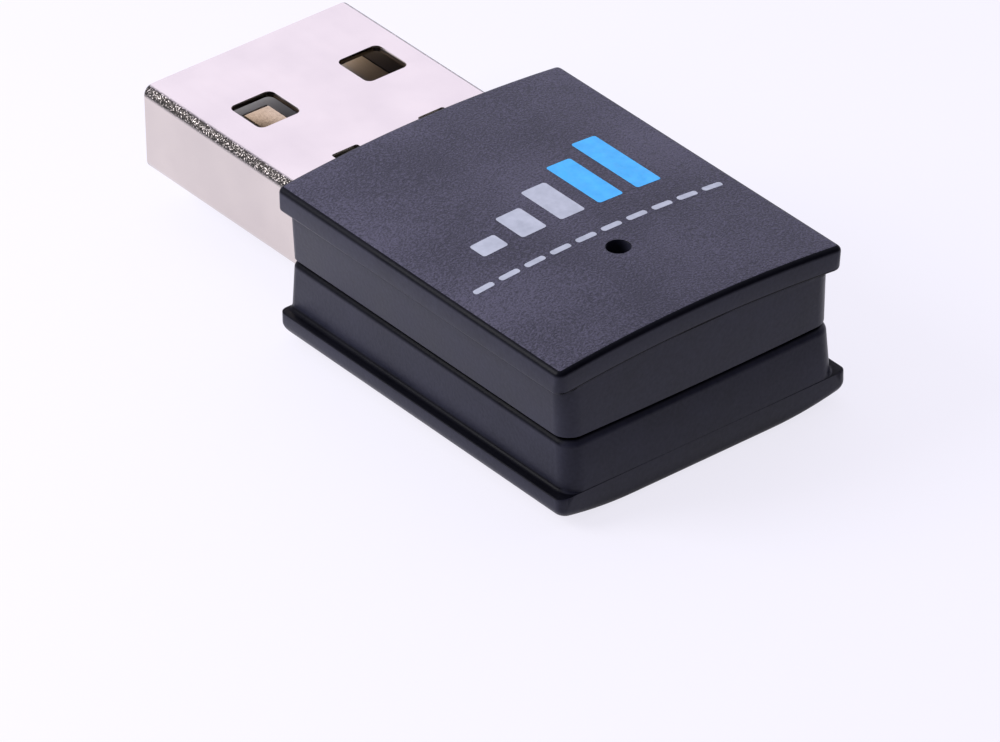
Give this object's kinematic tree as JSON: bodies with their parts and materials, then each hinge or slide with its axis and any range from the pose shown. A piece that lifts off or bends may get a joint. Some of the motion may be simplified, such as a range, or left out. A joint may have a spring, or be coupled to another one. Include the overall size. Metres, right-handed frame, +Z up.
{
  "type": "usb wifi adapter",
  "caption": "Short black two-part wireless adapter case with flanged, drawn-in sides and a plated USB type A plug on one end, for adding wireless networking to a computer.",
  "frame": {"origin": "under the middle of the overall length and width, on the flat underside that the adapter rests on", "axes": "+X along the adapter from the plug mouth to the closed end of the case, +Y across its width, +Z up out of the printed top"},
  "size_m": [0.0332, 0.0166, 0.0086],
  "materials": {
    "case_plastic": "black moulded plastic, fine spark texture on top, satin sides, with a plain silver and blue print",
    "plated_shell": "bright nickel-plated folded steel sheet",
    "insulator_resin": "olive grey moulded resin",
    "gilt_contact": "gold-flashed copper alloy strip",
    "board_laminate": "green solder mask on glass-fibre laminate",
    "chip_resin": "black moulding compound",
    "can_steel": "seam-welded metal lid",
    "ferrite": "dark sintered ferrite",
    "lamp_resin": "clear pale resin over the lamp die",
    "ceramic": "tan sintered ceramic",
    "resistor_glaze": "black glaze on ceramic",
    "copper_trace": "etched copper under a thin finish"
  },
  "bodies": {
    "root": {"upper_case": "case_plastic", "lower_case": "case_plastic", "plug_shell": "plated_shell", "plug_insulator": "insulator_resin", "contact_power": "gilt_contact", "contact_data_minus": "gilt_contact", "contact_data_plus": "gilt_contact", "contact_ground": "gilt_contact", "circuit_board": "board_laminate", "wireless_chip": "chip_resin", "memory_chip": "chip_resin", "voltage_regulator": "chip_resin", "crystal": "can_steel", "inductor": "ferrite", "match_coil_a": "ferrite", "match_coil_b": "ferrite", "status_led": "lamp_resin", "capacitor_input": "ceramic", "capacitor_output": "ceramic", "capacitor_core": "ceramic", "capacitor_radio": "ceramic", "capacitor_crystal_a": "ceramic", "capacitor_crystal_b": "ceramic", "resistor_led": "resistor_glaze", "resistor_bias": "resistor_glaze", "antenna_main": "copper_trace", "antenna_second": "copper_trace"}
  },
  "joints": []
}
